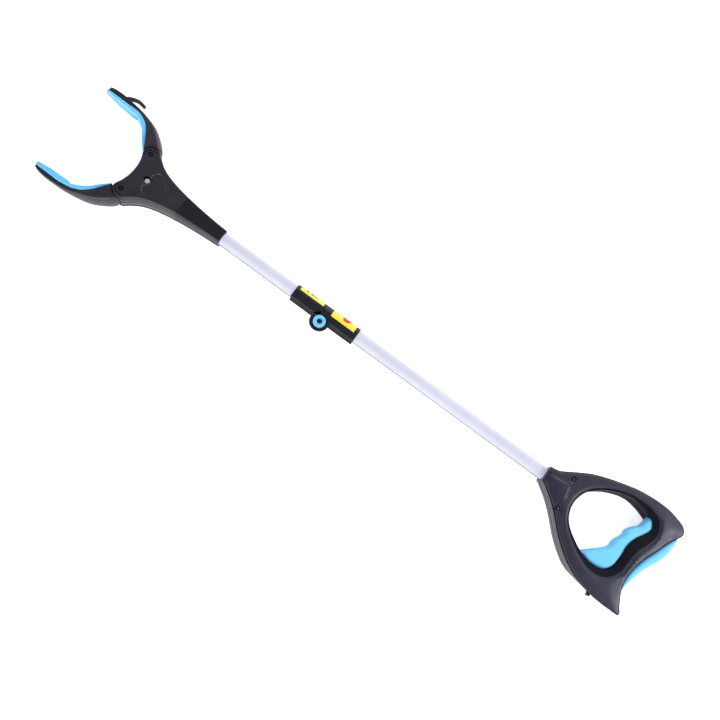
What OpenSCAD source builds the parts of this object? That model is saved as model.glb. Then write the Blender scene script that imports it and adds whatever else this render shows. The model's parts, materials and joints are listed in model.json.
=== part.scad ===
// Folding reacher grabber, lying on its side.
// A D-shaped handle holds a sliding trigger, which pulls a cable through two aluminium tubes.
// The tubes meet at a folding hinge. The cable pulls a crosshead, which closes two padded jaws.
// X runs along the tubes towards the jaws and Z is up from the surface that it lies on.
// The modules draw from the hinge pin's X, the tubes' centre line and the handle's mid-plane,
// and place() moves them so that the origin is under the middle of the whole object.

/* [Tubes] */
// Outer diameter of both tubes
tube_d = 15.5; // [15.2:0.1:15.8]
// Wall thickness of the tubes
tube_wall = 1; // [0.8:0.1:1.4]
// From the hinge pin to the end of the neck that covers the front tube
neck_end = 140; // [130:1:145]
// From the hinge pin to the collar of the handle that covers the rear tube
collar_end = 297; // [290:1:297]

/* [Handle] */
// Thickness of the two handle shells together
handle_t = 28; // [27:0.5:30]
// Wall of the handle shells
handle_wall = 2.5; // [2:0.1:2.6]
// Travel of the trigger when it is squeezed
trigger_travel = 13; // [10:0.5:13]
// Thickness of the trigger
trigger_t = 16; // [15:0.5:17]

/* [Hinge] */
// Length of each half of the hinge block
hinge_len = 42; // [38:1:44]
// Width and height of the hinge block
hinge_w = 17.6; // [17.6:0.1:18.2]
// Outer radius of the knuckle
knuckle_r = 11.2; // [11:0.1:12]
// Distance from the tubes' centre line to the hinge pin
pin_offset = 13.5; // [13:0.1:14]
// Radius of the hinge pin
pin_r = 2.5; // [2:0.1:2.7]
// Travel of the release button
button_travel = 2; // [1:0.1:2]

/* [Head] */
// Thickness of the two yoke shells together
yoke_t = 25; // [24:0.5:26]
// Wall of the yoke shells
yoke_wall = 2.2; // [2:0.1:2.4]
// From the hinge pin to the jaw pivots
jaw_x = 257.5; // [257:0.5:258]
// Distance of each jaw pivot from the centre line
jaw_y = 25.3; // [25:0.1:25.6]
// Radius of the jaw pivot pins
pivot_r = 3; // [2.5:0.1:3.2]
// Angle that an evenly opened jaw turns to close
jaw_close = 33.6; // [30:0.1:33.6]
// Angle by which both jaws stand aside from even
jaw_skew = 1.9; // [0:0.1:2]
// Travel of the crosshead that closes the jaws
head_travel = 12; // [11:0.1:12]

/* [Hidden] */
$fn = 48;

tube_r = tube_d / 2;
half_t = handle_t / 2;
half_yoke = yoke_t / 2;
half_hinge = hinge_w / 2;
gap = 0.3;
fit = 0.05;
cable_r = 0.8;

// Reach of the whole object from the hinge pin and the centre line, for place()
reach_front = 347.7;
reach_rear = -461.73;
reach_left = 83.45;
reach_right = -73.78;

black = "#2b2b30";
blue = "#86cdf2";
silver = "#c9cbd4";
steel = "#9a9ca2";
yellow = "#f0d428";

module place() {
    translate([-(reach_front + reach_rear) / 2, -(reach_left + reach_right) / 2, half_t]) children();
}

// A smooth open curve through points, with n steps between neighbours
function blend(a, b, c, d, t) = 0.5 * (2 * b + (c - a) * t + (2 * a - 5 * b + 4 * c - d) * t * t
    + (3 * b - a - 3 * c + d) * t * t * t);
function open_curve(p, n = 4) = concat([for (i = [0 : len(p) - 2]) for (j = [0 : n - 1])
    blend(p[max(i - 1, 0)], p[i], p[i + 1], p[min(i + 2, len(p) - 1)], j / n)], [p[len(p) - 1]]);
// A smooth closed curve through points
function ring_curve(p, n = 4) = [for (i = [0 : len(p) - 1]) for (j = [0 : n - 1])
    blend(p[(i + len(p) - 1) % len(p)], p[i], p[(i + 1) % len(p)], p[(i + 2) % len(p)], j / n)];
function reversed(p) = [for (i = [len(p) - 1 : -1 : 0]) p[i]];
function mirrored(p) = [for (q = p) [q[0], -q[1]]];
// Unit normal of an open curve at point i
function way(p, i) = p[min(i + 1, len(p) - 1)] - p[max(i - 1, 0)];
function normal(p, i) = [-way(p, i)[1], way(p, i)[0]] / norm(way(p, i));
// A flat strip along a curve
function strip(p, w) = concat([for (i = [0 : len(p) - 1]) p[i] + w * normal(p, i)],
    [for (i = [len(p) - 1 : -1 : 0]) p[i] - w * normal(p, i)]);

// A prism from z0 to z1
module slab(z0, z1) {
    translate([0, 0, z0]) linear_extrude(z1 - z0) children();
}

// A round bar along X
module x_bar(x0, x1, r, y = 0, z = 0) {
    translate([x0, y, z]) rotate([0, 90, 0]) cylinder(h = x1 - x0, r = r);
}

// A closed tube of flat faces through rings of points, all of one count of corners
module skin(ring_points, rings, corners) {
    walls = [for (i = [0 : rings - 2]) for (j = [0 : corners - 1])
        let (k = (j + 1) % corners, a = i * corners, b = a + corners)
        each [[a + j, a + k, b + k], [a + j, b + k, b + j]]];
    ends = [[for (j = [corners - 1 : -1 : 0]) j], [for (j = [0 : corners - 1]) (rings - 1) * corners + j]];
    polyhedron(ring_points, concat(walls, ends));
}

// A coil spring along Z, of that radius to the middle of its wire
module coil(length, r, wire_r, turns) {
    steps = 12;
    corners = 6;
    rings = turns * steps + 1;
    rise = (length - 2 * wire_r) / (rings - 1);
    skin([for (i = [0 : rings - 1]) for (j = [0 : corners - 1])
        let (a = 360 * i / steps, b = 360 * j / corners, out = r + wire_r * cos(b))
        [out * cos(a), -out * sin(a), wire_r + rise * i + wire_r * sin(b)]], rings, corners);
}

// A round wire along a flat route
module wire(route, r) {
    corners = 8;
    skin([for (i = [0 : len(route) - 1]) for (j = [0 : corners - 1])
        let (a = 360 * j / corners, n = normal(route, i))
        [route[i][0] + r * cos(a) * n[0], route[i][1] + r * cos(a) * n[1], r * sin(a)]],
        len(route), corners);
}

// Handle outlines

handle_side_right = [[-297, -9.5], [-308, -11], [-322, -19], [-339, -29], [-356, -36], [-375, -42],
    [-395, -47], [-417, -49.3], [-436, -48.6], [-452, -45]];
handle_tip_right = [[-457.5, -42.5], [-461, -38.5], [-461.5, -33.5], [-458, -27]];
handle_rear = [[-452, -18], [-445, -2], [-438, 13], [-432.5, 30], [-430.5, 45], [-432.5, 58],
    [-437, 69], [-440, 75]];
handle_tip_left = [[-443, 79.5], [-441.5, 83], [-437, 83.3]];
handle_side_left = [[-420, 83.3], [-404, 81.8], [-387, 77.6], [-371, 70.6], [-357, 61.5],
    [-343, 49.8], [-331, 37.2], [-321, 27.3], [-309, 17.5], [-297, 9.5]];
window_side = [[-425, -26], [-419.8, -29.5], [-408, -33.5], [-393, -35.3], [-378, -31.8],
    [-360.5, -22.7], [-346.5, -10.3], [-340.5, 2.5], [-339.5, 14], [-342.5, 24.5], [-348.5, 33],
    [-359, 41], [-373.5, 48.8], [-390, 52]];
window_rear = [[-405, 49.5], [-412, 42.5], [-414.5, 29], [-413.5, 14], [-418, 0], [-428, -16]];

module handle_outline() {
    polygon(concat([handle_side_right[0]], open_curve(concat(handle_side_right,
        handle_tip_right, handle_rear, handle_tip_left, handle_side_left))));
}

module window_outline(grow = 0) {
    offset(delta = grow) polygon(ring_curve(concat(window_side, window_rear)));
}

screw_spots = [[-325, -11.5], [-326.5, 25.5]];
rear_screw_spots = [[-444, -35], [-424, 70]];
rod_y = 57;
anchor_y = 66.5;
rod_ends = [-428.5, -371];
rod_r = 2;
rod_seat = 1.5;
// Part of the window wall that the trigger passes through
passage_corner = [-440, -32.5];
passage_size = [73.5, 88.5];
// Posts and holes for the screws that join the shells
post_r = 3.4;
screw_hole_r = 1.6;
well_r = 3.2;
well_depth = 3;
// Pins and rivets that hold the tubes
rivet_r = 1.5;
rivet_in = 0.8;

// One handle shell between z0 (parting plane) and the outer face, z growing outwards
module handle_half() {
    difference() {
        slab(0, half_t) handle_outline();
        slab(-1, half_t + 1) window_outline();
        slab(-1, half_t - handle_wall) difference() {
            offset(delta = -handle_wall) handle_outline();
            window_outline(handle_wall);
            for (p = concat(screw_spots, rear_screw_spots)) translate(p) circle(r = post_r);
            for (x = [rod_ends[0] - 2 * rod_seat, rod_ends[1]])
                translate([x, rod_y - post_r]) square([2 * rod_seat, 2 * post_r]);
        }
        x_bar(-330, -290, tube_r + fit);
        translate([-collar_end - pin_inset, 0, -1]) cylinder(h = tube_r + 4.2, r = rivet_r + fit);
        slab(-1, trigger_t / 2 + 2 * gap) intersection() {
            translate(passage_corner) square(passage_size);
            window_outline(handle_wall + 1);
        }
        x_bar(rod_ends[0] - rod_seat, rod_ends[1] + rod_seat, rod_r + fit, rod_y);
        for (p = screw_spots) translate([p[0], p[1], -1]) cylinder(h = half_t + 2, r = screw_hole_r);
        for (p = rear_screw_spots) translate([p[0], p[1], -1]) cylinder(h = half_t - 2, r = screw_hole_r);
    }
}

module handle_front_shell() color(black) place() difference() {
    union() {
        handle_half();
        // Lug for a wrist strap
        translate([-406, 79.9, 4.5]) rotate([0, 0, 15]) cube([4, 2.6, 4.5]);
    }
    for (p = screw_spots) translate([p[0], p[1], half_t - well_depth]) cylinder(h = 4, r = well_r);
}

module handle_back_shell() color(black) place() mirror([0, 0, 1]) handle_half();

module palm_pad() color(blue) place() {
    edge = open_curve([for (i = [0 : 5]) handle_rear[i] - [0.2, 0]]);
    bulge = open_curve([[-433, 59], [-439, 47], [-443, 33], [-449, 19], [-456, 5], [-460, -9], [-461, -20]]);
    slab(-10, 10) polygon(concat(edge, bulge));
}

module handle_screws() color(steel) place() for (p = screw_spots) {
    translate([p[0], p[1], half_t - well_depth]) difference() {
        cylinder(h = 1.8, r = well_r - gap);
        translate([0, 0, 0.9]) for (a = [0, 90]) rotate([0, 0, a])
            translate([-1.8, -0.35, 0]) cube([3.6, 0.7, 2]);
    }
    translate([p[0], p[1], well_depth - half_t]) cylinder(h = handle_t - 2 * well_depth, r = screw_hole_r - fit);
}

module tube(x0, x1) difference() {
    x_bar(x0, x1, tube_r);
    x_bar(x0 - 1, x1 + 1, tube_r - tube_wall);
}

// From the hinge pin to the inner end of each tube, and from the collar to the pin in it
tube_stop = 13;
pin_inset = 7;
// Distance of the hinge rivets from the hinge pin
rivet_xs = [20, 32];

module rear_tube() color(silver) place() difference() {
    tube(-collar_end - 14, -tube_stop);
    for (x = concat([-collar_end - pin_inset], -rivet_xs))
        translate([x, 0, -half_t]) cylinder(h = handle_t, r = rivet_r + fit);
}

// Short rivets through the tube's wall at both sides, clear of the cable
module rivets(xs, top) for (x = xs) for (m = [0, 1]) mirror([0, 0, m])
    translate([x, 0, tube_r - tube_wall - rivet_in])
        cylinder(h = top - tube_r + tube_wall + rivet_in, r = rivet_r);

module rear_tube_pin() color(steel) place() rivets([-collar_end - pin_inset], tube_r + 3);

// Route of the cable from the rear tube round the window to the trigger
cable_route = open_curve([[-311, 0], [-317, 2], [-324, 9], [-330, 18], [-337, 30], [-346, 42],
    [-357, 52.5], [-366, 61.2], [-373.8, 66.5]], 3);

module cable_guide() color(silver) place() {
    bend = [for (i = [5 : 16]) cable_route[i]];
    difference() {
        slab(-4, 4) polygon(strip(bend, 3.2));
        slab(-1.4, 5) polygon(strip([for (i = [4 : 17]) cable_route[i]], 1.4));
    }
}

module guide_rod() color(steel) place() x_bar(rod_ends[0] - rod_seat, rod_ends[1] + rod_seat, rod_r, rod_y);

module handle_cable() color(steel) place() wire(cable_route, cable_r);

// Trigger: the blue finger piece and the slider that carries it on the guide rod

finger_edge = [[-369.5, 50], [-374.5, 45], [-387, 34], [-396.5, 25.3], [-399.3, 20], [-399.8, 14],
    [-403, 7.5], [-406, 1.5], [-407.5, -4.5], [-412.5, -12], [-417.5, -16.5], [-419.5, -22], [-421, -31.5]];
trigger_back = [[-427, -31.5], [-431.5, -20], [-424.5, -4], [-418.5, 10], [-416, 28], [-413, 41],
    [-404, 50.5], [-388, 53.8], [-377.6, 51.5], [-370.5, 51.5]];

module trigger() color(blue) place() slab(-trigger_t / 2, trigger_t / 2)
    polygon(concat(open_curve(finger_edge), open_curve(trigger_back)));

module slider_outline() {
    polygon(open_curve([[-413.4, 41.5], [-404.2, 51], [-388, 54.3], [-377.5, 52], [-374.5, 55],
        [-374.5, 62], [-377, 70], [-384, 72], [-395, 69.5], [-397.5, 62], [-399, 56], [-404, 53],
        [-411, 48.5], [-414, 45]]));
}

module trigger_slider() color(black) place() difference() {
    slab(-6, 6) slider_outline();
    x_bar(-430, -360, rod_r + 2 * fit, rod_y);
    x_bar(-384, -370, 1, anchor_y);
    translate([-386, anchor_y, 0]) cylinder(h = 5.2, r = 2.5, center = true);
}

module cable_anchor() color(steel) place() {
    translate([-386, anchor_y, 0]) cylinder(h = 5, r = 2.4, center = true);
    x_bar(-384.5, -374.6, 0.9, anchor_y);
}

module trigger_spring() color(steel) place()
    translate([rod_ends[0] + 0.2, rod_y, 0]) rotate([0, 90, 0]) coil(25, 2.95, 0.45, 6);

module rear_cable() color(steel) place() x_bar(-310.5, -5, cable_r);

// Folding hinge

// Two discs round the hinge pin, between z0 and z1 on both sides of the mid-plane
module ears(r, z0, z1) for (s = [0, 1]) mirror([0, 0, s])
    translate([0, pin_offset, z0]) cylinder(h = z1 - z0, r = r);

// A block that is round on the labels' side and square on the pin's side
module hinge_block(x0, x1) {
    translate([x0, 0, 0]) rotate([90, 0, 90]) linear_extrude(x1 - x0) {
        circle(r = half_hinge);
        translate([0, -half_hinge]) square([half_hinge, hinge_w]);
    }
}

module rivet_holes(xs) for (x = xs)
    translate([x, 0, -half_hinge - 1]) cylinder(h = hinge_w + 2, r = rivet_r + fit);

split_x = 4.5;
tongue_z = 2.9;
// The knuckle grows narrower away from its button
knuckle_taper = 1.5;
tongue_r = 9.4;
low_ear_r = 8;
button_r = 7;
collar_r = 4.6;
neck_pin_x = 160;

module hinge_rear_half() color(black) place() difference() {
    union() {
        hinge_block(-hinge_len, split_x);
        translate([0, pin_offset, tongue_z + gap])
            cylinder(h = half_hinge - tongue_z - gap, r1 = knuckle_r - knuckle_taper, r2 = knuckle_r);
        translate([0, pin_offset, -half_hinge])
            cylinder(h = half_hinge - tongue_z - gap, r1 = low_ear_r - knuckle_taper, r2 = low_ear_r);
    }
    x_bar(-hinge_len - 1, -tube_stop, tube_r + fit);
    x_bar(-tube_stop - 1, split_x + 1, 2);
    translate([0, pin_offset, -tongue_z - gap]) cylinder(h = 2 * (tongue_z + gap), r = knuckle_r + gap);
    translate([0, pin_offset, -half_hinge - 1]) cylinder(h = hinge_w + 2, r = pin_r + fit);
    translate([0, pin_offset, 4.8]) cylinder(h = half_hinge, r = button_r + gap);
    rivet_holes(-rivet_xs);
}

module hinge_front_half() color(black) place() difference() {
    union() {
        difference() {
            hinge_block(split_x + gap, hinge_len);
            ears(knuckle_r + gap, tongue_z, half_hinge + 1);
        }
        translate([0, pin_offset, -tongue_z]) cylinder(h = 2 * tongue_z, r1 = low_ear_r, r2 = tongue_r);
        slab(-tongue_z, tongue_z) polygon([[split_x + gap, 0], [14, 0], [14, 8.9], [8, 17], [4.8, 9]]);
    }
    x_bar(tube_stop, hinge_len + 1, tube_r + fit);
    x_bar(split_x, tube_stop + 1, 2);
    translate([0, pin_offset, -5]) cylinder(h = 10, r = pin_r + fit);
    translate([0, pin_offset, 1]) cylinder(h = 5, r = collar_r + gap);
    rivet_holes(rivet_xs);
}

module rear_hinge_rivets() color(steel) place() rivets(-rivet_xs, half_hinge - gap);

module front_hinge_rivets() color(steel) place() rivets(rivet_xs, half_hinge - gap);

module hinge_pin() color(black) place() translate([0, pin_offset, 0]) {
    translate([0, 0, -half_hinge - 1.2]) cylinder(h = 1.2, r = 5);
    translate([0, 0, -half_hinge]) cylinder(h = hinge_w + 2.4, r = pin_r);
}

module release_button() color(blue) place() translate([0, pin_offset, 7.4]) difference() {
    union() {
        cylinder(h = 3.2, r = button_r);
        translate([0, 0, 3.2]) cylinder(h = 0.5, r1 = button_r, r2 = button_r - 0.6);
    }
    translate([0, 0, -1]) cylinder(h = 6, r = pin_r + fit);
}

module lock_collar() color(steel) place() translate([0, pin_offset, 1.2]) difference() {
    cylinder(h = 1.8, r = collar_r);
    translate([0, 0, -1]) cylinder(h = 4, r = pin_r + fit);
}

module button_spring() color(steel) place() translate([0, pin_offset, 4.9]) coil(2.4, 4.2, 0.35, 2);

// A label bent round the block's round side, as far as edge on its top
module label(x0, x1, edge) color(yellow) place() intersection() {
    difference() {
        x_bar(x0, x1, half_hinge + gap);
        x_bar(x0 - 1, x1 + 1, half_hinge + fit);
    }
    translate([x0 - 1, -hinge_w, -4]) cube([x1 - x0 + 2, hinge_w + edge, hinge_w]);
}

module rear_label() label(-37, -6.2, 0.5);

module front_label() label(6.5, 37.5, -3.4);

module fold_cable() color(steel) place() x_bar(-4.9, 5.9, cable_r);

tube_front = 186;

module front_tube() color(silver) place() difference() {
    tube(tube_stop, tube_front);
    for (x = concat(rivet_xs, [neck_pin_x]))
        translate([x, 0, -half_t]) cylinder(h = handle_t, r = rivet_r + fit);
}

module front_tube_pin() color(steel) place() rivets([neck_pin_x], tube_r + 1.4);

// Yoke of the head

yoke_side = [[140, 8.7], [160, 9.5], [180, 11], [196, 12.8], [213, 15.8], [228, 20], [238, 25],
    [246, 31]];
yoke_boss = [[250.5, 34.9], [254.8, 34.7], [260, 34], [264.6, 31], [266.8, 26.5]];
yoke_front = [[265.6, 21], [263.2, 14], [261.7, 7], [261.3, 0]];
yoke_screw_x = 242;
crease_x = 195.7;
neck_half = 9.4;
screw_depth = 5.5;
screw_head_r = 3.2;

module yoke_outline() {
    half = open_curve(concat(yoke_side, yoke_boss, yoke_front));
    inner = [for (i = [0 : len(half) - 2]) half[i]];
    polygon(concat(half, mirrored(reversed(inner))));
}

// Room for the jaws to leave the yoke past each pivot
module jaw_mouth() for (s = [-1, 1]) {
    translate([jaw_x, s * jaw_y]) circle(r = 13.5);
    polygon([[252, s * 32], [244.5, s * 45], [280, s * 45], [280, s * 19], [264, s * 20.5]]);
}

// Side view of one yoke shell: the neck grows thinner towards the tube
module yoke_depth() rotate([90, 0, 0]) linear_extrude(100, center = true)
    polygon([[neck_end - 1, 0], [neck_end - 1, neck_half], [crease_x, half_yoke], [280, half_yoke],
        [280, 0]]);

module yoke_half() difference() {
    intersection() {
        slab(0, half_yoke) yoke_outline();
        yoke_depth();
    }
    slab(-1, half_yoke - yoke_wall) difference() {
        intersection() {
            offset(delta = -yoke_wall) yoke_outline();
            translate([187, -50]) square([90, 100]);
        }
        translate([yoke_screw_x, 0]) circle(r = 3.8);
    }
    slab(-1, half_yoke - yoke_wall) jaw_mouth();
    x_bar(neck_end - 10, tube_front, tube_r + fit);
    x_bar(tube_front - 1, 200, 6);
    translate([neck_pin_x, 0, -1]) cylinder(h = tube_r + 2.5, r = rivet_r + fit);
    for (s = [-1, 1]) translate([jaw_x, s * jaw_y, -1]) cylinder(h = half_yoke + 2, r = pivot_r + fit);
    translate([yoke_screw_x, 0, -1]) cylinder(h = half_yoke + 2, r = 1.8);
}

module yoke_front_shell() color(black) place() difference() {
    union() {
        yoke_half();
        translate([yoke_screw_x, 0, half_yoke - screw_depth - 1.6]) difference() {
            cylinder(h = screw_depth, r = screw_head_r + 2);
            translate([0, 0, -1]) cylinder(h = screw_depth, r = 1.8);
        }
    }
    translate([yoke_screw_x, 0, half_yoke - screw_depth]) cylinder(h = screw_depth + 1, r = screw_head_r + 0.6);
}

module yoke_back_shell() color(black) place() mirror([0, 0, 1]) yoke_half();

module yoke_screw() color(steel) place() translate([yoke_screw_x, 0, 0]) {
    translate([0, 0, half_yoke - screw_depth]) cylinder(h = 1.9, r = screw_head_r);
    translate([0, 0, 1 - half_yoke]) cylinder(h = yoke_t - 1 - screw_depth, r = 1.75);
}

module jaw_pivot_pins() color(steel) place() for (s = [-1, 1])
    translate([jaw_x, s * jaw_y, -half_yoke]) cylinder(h = yoke_t, r = pivot_r);

// Crosshead: a fork that straddles the screw post, with a cam slot for each jaw's drive pin

drive_r = 1.75;
tail_len = 18;
tail_angle = 105;

// Turn per millimetre of crosshead travel, for the upper (s = -1) and the lower jaw (s = 1)
function jaw_rate(s) = (jaw_close - s * jaw_skew) / head_travel;
// Where a jaw's drive pin is, seen from the crosshead, after the crosshead has moved by t
function slot_point(s, t) = [jaw_x + t, s * jaw_y]
    + tail_len * [cos(tail_angle + jaw_rate(s) * t), -s * sin(tail_angle + jaw_rate(s) * t)];
module slot_shape(s, r) hull() for (t = [0 : 0.25 : 1])
    translate(slot_point(s, t * head_travel)) circle(r = r, $fn = 32);

module crosshead() color(steel) place() difference() {
    slab(-2, 2) {
        translate([229.5, -11.5]) square([8, 23]);
        for (s = [-1, 1]) {
            translate([237, s * 8.3 - 3.2]) square([14, 6.4]);
            slot_shape(s, drive_r + 1.9);
        }
    }
    for (s = [-1, 1]) slab(-3, 3) slot_shape(s, drive_r + gap);
    x_bar(228, 238.5, cable_r + fit);
}

module front_cable() color(steel) place() x_bar(6, 237.5, cable_r);

module cable_ferrule() color(steel) place() difference() {
    x_bar(225.5, 229.4, 2);
    x_bar(225, 230, cable_r + fit);
}

module jaw_spring() color(steel) place()
    translate([tube_front + 1, 0, 0]) rotate([0, 90, 0]) coil(38, 4.7, 0.5, 8);

// Jaws, drawn from their pivot with the tips along X, the outer side towards +Y

jaw_back = [[-8, 11.6], [-4, 15.6], [4.5, 22.3], [14, 28.9], [24, 33.3], [33, 35.8], [48, 38.2], [68, 38.3],
    [82, 37.6], [87, 36]];
jaw_seat = [[87, 33.4], [66, 33], [50, 32.8], [41, 31.6], [32, 27.8], [25, 22], [19, 14.2],
    [14, 6.5], [10.5, 1.5]];
pad_face = [[12.5, 1], [15.8, 5], [20.5, 9], [24, 15], [30.5, 21.5], [38, 26.2], [45, 29.4], [47.5, 28.2],
    [58, 28.6], [70, 29], [80, 29.8], [88.6, 29.6], [88.6, 33.4]];
hook_line = open_curve([[67, 37.8], [62.3, 41.8], [54.5, 45], [46.3, 44]]);
hook_r = 1.7;

// Half thickness of a jaw and of its pad along them, seen from the side
jaw_halves = [[-20, 11.8], [12, 11.8], [28, 9.1], [36, 7.2], [45, 5.2], [58, 3.8], [90, 3.6]];
pad_halves = [[-20, 9], [20, 9], [70, 8], [82, 6.2], [90, 3.6]];
module side_view(halves) rotate([90, 0, 0]) linear_extrude(200, center = true)
    polygon(concat(halves, mirrored(reversed(halves))));

module jaw_frame(s) translate([jaw_x, s * jaw_y, 0]) rotate([0, 0, -jaw_skew])
    mirror([0, s < 0 ? 1 : 0, 0]) children();

module jaw(s, hook) color(black) place() difference() {
    union() {
        jaw_frame(s) intersection() {
            difference() {
                slab(-12, 12) polygon(concat(open_curve(jaw_back), open_curve(jaw_seat), [[3, 3]]));
                for (m = [0, 1]) mirror([0, 0, m]) {
                    translate([0, 0, half_yoke - yoke_wall - gap]) cylinder(h = 10, r = 10.2);
                    slab(half_yoke - yoke_wall - gap, 20)
                        polygon([[0, 0], [-1.5, 13.5], [-7, 20], [-20, 20], [-20, 0]]);
                }
            }
            side_view(jaw_halves);
        }
        translate([jaw_x, s * jaw_y, gap - half_yoke + yoke_wall])
            cylinder(h = yoke_t - 2 * yoke_wall - 2 * gap, r = 7.4);
        translate([jaw_x, s * jaw_y, 2.4]) rotate([0, 0, -s * tail_angle]) {
            translate([0, -3.4, 0]) cube([tail_len, 6.8, 4]);
            translate([tail_len, 0, 0]) cylinder(h = 4, r = 3.4);
        }
        if (hook) jaw_frame(s) slab(-3, 3) {
            polygon(strip(hook_line, hook_r));
            translate(hook_line[len(hook_line) - 1]) circle(r = hook_r);
        }
    }
    translate([jaw_x, s * jaw_y, -15]) cylinder(h = 30, r = pivot_r + 2 * fit);
    translate([jaw_x, s * jaw_y, 0] + tail_len * [cos(tail_angle), -s * sin(tail_angle), 0])
        cylinder(h = 10, r = drive_r);
}

module jaw_pad(s) color(blue) place() jaw_frame(s) intersection() {
    slab(-10, 10) polygon(concat(open_curve(jaw_seat), open_curve(pad_face, 3)));
    side_view(pad_halves);
}

module drive_pin(s) color(steel) place()
    translate([jaw_x, s * jaw_y, -2.5] + tail_len * [cos(tail_angle), -s * sin(tail_angle), 0])
        cylinder(h = 8.9, r = drive_r);

module upper_jaw() jaw(-1, true);
module lower_jaw() jaw(1, false);
module upper_pad() jaw_pad(-1);
module lower_pad() jaw_pad(1);
module upper_drive_pin() drive_pin(-1);
module lower_drive_pin() drive_pin(1);

handle_front_shell();
handle_back_shell();
palm_pad();
handle_screws();
rear_tube();
rear_tube_pin();
cable_guide();
guide_rod();
handle_cable();
trigger();
trigger_slider();
cable_anchor();
trigger_spring();
rear_cable();
hinge_rear_half();
rear_hinge_rivets();
hinge_pin();
release_button();
lock_collar();
button_spring();
rear_label();
hinge_front_half();
front_hinge_rivets();
front_label();
fold_cable();
front_tube();
front_tube_pin();
yoke_front_shell();
yoke_back_shell();
yoke_screw();
jaw_pivot_pins();
crosshead();
front_cable();
cable_ferrule();
jaw_spring();
upper_jaw();
upper_pad();
upper_drive_pin();
lower_jaw();
lower_pad();
lower_drive_pin();
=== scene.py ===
"""The looks of a folding reacher grabber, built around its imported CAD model.

Shapes are worked out in millimetres from the hinge pin: X runs along the tubes towards the jaws, Y is
across the tool towards the hinge knuckle and Z is up from the handle's mid-plane. place() turns them into
metres in the CAD frame.
"""

import json
import math

import bmesh
import bpy
import numpy as np
from mathutils import Matrix, Vector
from mathutils.geometry import delaunay_2d_cdt


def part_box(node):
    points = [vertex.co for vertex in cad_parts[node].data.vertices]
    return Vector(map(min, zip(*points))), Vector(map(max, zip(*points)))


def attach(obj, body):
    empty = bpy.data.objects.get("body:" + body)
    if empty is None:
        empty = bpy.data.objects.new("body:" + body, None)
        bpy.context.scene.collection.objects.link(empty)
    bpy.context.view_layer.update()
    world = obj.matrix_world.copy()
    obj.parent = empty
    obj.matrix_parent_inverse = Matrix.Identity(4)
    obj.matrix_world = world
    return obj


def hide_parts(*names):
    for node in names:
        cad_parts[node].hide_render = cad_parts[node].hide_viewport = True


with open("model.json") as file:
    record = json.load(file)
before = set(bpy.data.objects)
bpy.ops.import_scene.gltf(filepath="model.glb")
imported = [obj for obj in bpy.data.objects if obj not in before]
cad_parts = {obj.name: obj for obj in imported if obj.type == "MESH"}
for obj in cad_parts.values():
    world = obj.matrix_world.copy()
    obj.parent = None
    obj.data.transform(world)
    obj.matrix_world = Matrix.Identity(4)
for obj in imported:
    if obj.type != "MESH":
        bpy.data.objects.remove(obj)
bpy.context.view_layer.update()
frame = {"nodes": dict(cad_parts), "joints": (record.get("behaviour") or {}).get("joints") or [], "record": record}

MM = 0.001
JOINTS = {joint["name"]: joint for joint in frame["joints"]}


def size(node):
    """(lowest corner, highest corner) of a CAD node, in millimetres in the CAD frame."""
    low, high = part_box(node)
    return np.array(low) / MM, np.array(high) / MM


tube_low, tube_high = size("rear_tube")
pin_x = JOINTS["fold_hinge"]["pos_m"][0] / MM
ORIGIN = np.array([pin_x, (tube_low[1] + tube_high[1]) / 2, (tube_low[2] + tube_high[2]) / 2])


def reach(node, axis, end):
    """How far a CAD node reaches along an axis (0 X, 1 Y, 2 Z), at its low (0) or high (1) end."""
    return float(size(node)[end][axis] - ORIGIN[axis])


def pivot(joint):
    """X and Y of a hinge joint's axis."""
    return np.array(JOINTS[joint]["pos_m"][:2]) / MM - ORIGIN[:2]


HANDLE_HALF = reach("handle_front_shell", 2, 1)
YOKE_HALF = reach("yoke_front_shell", 2, 1)
HINGE_HALF = reach("hinge_rear_half", 2, 1)
TUBE_R = (tube_high[1] - tube_low[1]) / 2
TRIGGER_HALF = reach("trigger", 2, 1)
PIN_Y = float(pivot("fold_hinge")[1])
UPPER_PIVOT = pivot("upper_jaw_close")
LOWER_PIVOT = pivot("lower_jaw_close")
COLLAR_X = reach("handle_front_shell", 0, 1)
NECK_X = reach("yoke_front_shell", 0, 0)
SCREW_SPOT = ((size("yoke_screw")[0] + size("yoke_screw")[1]) / 2 - ORIGIN)[:2]


# ---- curves

# Ends of paths that are nearer than this, in mm, are one
TOUCHING = 1e-6


def curve(points, steps=10, closed=False):
    """Points of a smooth curve through the given ones."""
    p = np.array(points, float)
    count = len(p)
    t = np.arange(steps)[:, None] / steps
    spans = []
    for i in range(count if closed else count - 1):
        if closed:
            a, b, c, d = (p[(i + k) % count] for k in (-1, 0, 1, 2))
        else:
            a, b, c, d = (p[min(max(i + k, 0), count - 1)] for k in (-1, 0, 1, 2))
        spans.append(0.5 * (2 * b + (c - a) * t + (2 * a - 5 * b + 4 * c - d) * t**2
                            + (3 * b - a - 3 * c + d) * t**3))
    if not closed:
        spans.append(p[-1:])
    return np.vstack(spans)


def even(path, spacing):
    """The same open path with even steps of about spacing."""
    path = np.array(path, float)
    along = np.concatenate([[0], np.cumsum(np.linalg.norm(np.diff(path, axis=0), axis=1))])
    count = max(1, round(along[-1] / spacing))
    stations = np.linspace(0, along[-1], count + 1)
    return np.column_stack([np.interp(stations, along, path[:, k]) for k in range(path.shape[1])])


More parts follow.
